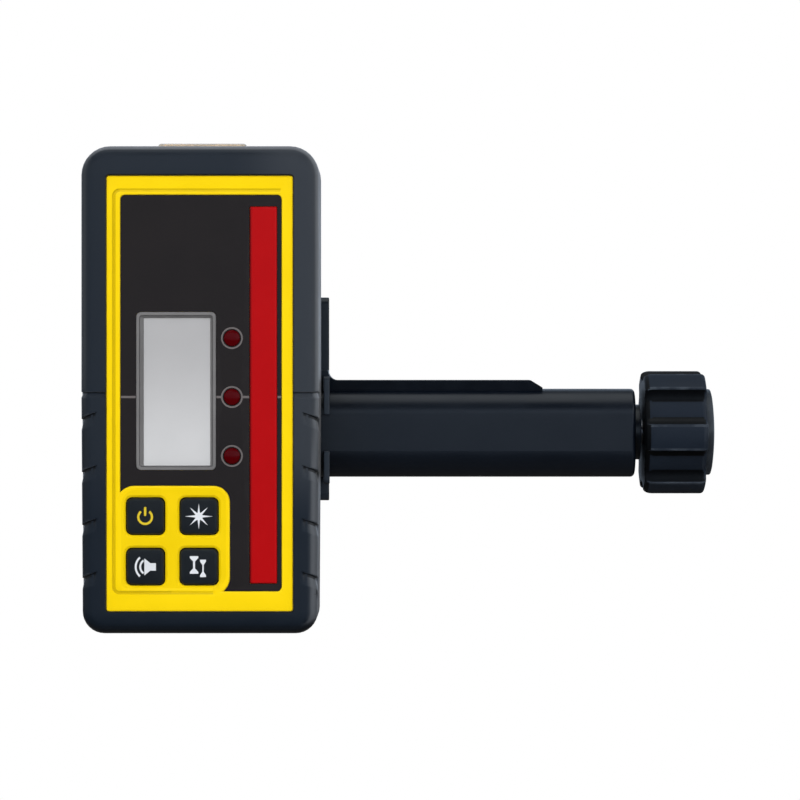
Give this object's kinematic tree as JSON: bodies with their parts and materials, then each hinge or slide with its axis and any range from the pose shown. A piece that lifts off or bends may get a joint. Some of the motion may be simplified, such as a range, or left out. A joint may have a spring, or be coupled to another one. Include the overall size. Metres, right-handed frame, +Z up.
{
  "type": "laser receiver with rod clamp",
  "caption": "Rubber-jacketed laser receiver with a display, sensor window and push buttons, on a screw clamp that grips a grade rod",
  "frame": {"origin": "On the on-grade line, halfway across the receiver, on the face of the beam that a clamped rod rests against", "axes": "+X to the right along the beam, +Y from the receiver's front to its back, +Z up"},
  "size_m": [0.1994, 0.088, 0.1517],
  "materials": {
    "jacket_rubber": "matte moulded rubber",
    "yellow_plastic": "satin moulded plastic",
    "case_plastic": "fine texture",
    "panel_film": "satin film",
    "window_red": "clear red filter",
    "bezel_grey": "satin",
    "display_glass": "polished",
    "module_white": "matte",
    "lamp_red": "clear lens",
    "board_green": "solder mask",
    "steel": "plain",
    "switch_black": "matte",
    "cell_wrap": "printed wrap",
    "brass": "machined",
    "vial_clear": "clear",
    "vial_liquid": "clear",
    "button_rubber": "matte",
    "clamp_plastic": "semi-gloss moulded",
    "pad_rubber": "matte",
    "plate_metal": "black paint"
  },
  "bodies": {
    "receiver": {"rubber_jacket": "jacket_rubber", "front_case": "yellow_plastic", "rear_case": "case_plastic", "case_seal": "pad_rubber", "case_screws": "steel", "face_panel": "panel_film", "sensor_window": "window_red", "lcd_bezel": "bezel_grey", "lcd_glass": "display_glass", "lcd_module": "module_white", "indicator_lamps": "lamp_red", "main_board": "board_green", "board_screws": "steel", "tact_switches": "switch_black", "photodiodes": "switch_black", "beeper": "switch_black", "battery_cells": "cell_wrap", "battery_contacts": "steel", "contact_springs": "steel", "hinge_pin": "steel", "back_insert": "brass", "vial_cradle": "yellow_plastic", "level_vial": "vial_clear", "vial_fluid": "vial_liquid", "clamp_beam": "clamp_plastic", "mount_plate": "plate_metal", "mount_plate_screws": "steel", "locating_pins": "steel", "fixed_jaw": "clamp_plastic", "fixed_jaw_screws": "steel", "fixed_jaw_pad": "pad_rubber", "end_bush": "clamp_plastic"},
    "power": {"power_button": "button_rubber"},
    "light": {"light_button": "button_rubber"},
    "sound": {"sound_button": "button_rubber"},
    "accuracy": {"accuracy_button": "button_rubber"},
    "door": {"battery_door": "case_plastic"},
    "jaw": {"sliding_jaw": "clamp_plastic", "sliding_jaw_pad": "pad_rubber", "jaw_nut": "brass"},
    "knob": {"lead_screw": "steel", "clamp_knob": "clamp_plastic", "knob_cap": "clamp_plastic", "knob_pin": "steel"},
    "thumb_carriage": {"thumb_screw_washer": "steel"},
    "thumb": {"thumb_screw": "steel", "thumb_screw_head": "clamp_plastic"}
  },
  "joints": [
    {"name": "power_press", "type": "slide", "parent": "receiver", "child": "power", "axis": [0, 1, 0], "range_m": [0, 0.0008], "stiffness_N_per_m": 1500},
    {"name": "light_press", "type": "slide", "parent": "receiver", "child": "light", "axis": [0, 1, 0], "range_m": [0, 0.0008], "stiffness_N_per_m": 1500},
    {"name": "sound_press", "type": "slide", "parent": "receiver", "child": "sound", "axis": [0, 1, 0], "range_m": [0, 0.0008], "stiffness_N_per_m": 1500},
    {"name": "accuracy_press", "type": "slide", "parent": "receiver", "child": "accuracy", "axis": [0, 1, 0], "range_m": [0, 0.0008], "stiffness_N_per_m": 1500},
    {"name": "battery_door_swing", "type": "hinge", "parent": "receiver", "child": "door", "pos_m": [0, -0.0295, -0.03765], "axis": [1, 0, 0], "range_deg": [0, 90]},
    {"name": "knob_turn", "type": "hinge", "parent": "receiver", "child": "knob", "pos_m": [0.14, -0.0125, -0.0112], "axis": [-1, 0, 0], "range_deg": [-1800, 5040]},
    {"name": "jaw_slide", "type": "slide", "parent": "receiver", "child": "jaw", "axis": [-1, 0, 0], "range_m": [-0.015, 0.042]},
    {"name": "thumb_screw_travel", "type": "slide", "parent": "receiver", "child": "thumb_carriage", "axis": [0, 1, 0], "range_m": [0, 0.00762]},
    {"name": "thumb_screw_turn", "type": "hinge", "parent": "thumb_carriage", "child": "thumb", "pos_m": [0, -0.02, 0.018], "axis": [0, 1, 0], "range_deg": [0, 2160]}
  ],
  "couplings": [
    {"joint": "jaw_slide", "follows": "knob_turn", "m_per_rad": 0.00047746},
    {"joint": "thumb_screw_travel", "follows": "thumb_screw_turn", "m_per_rad": 0.00020213}
  ]
}
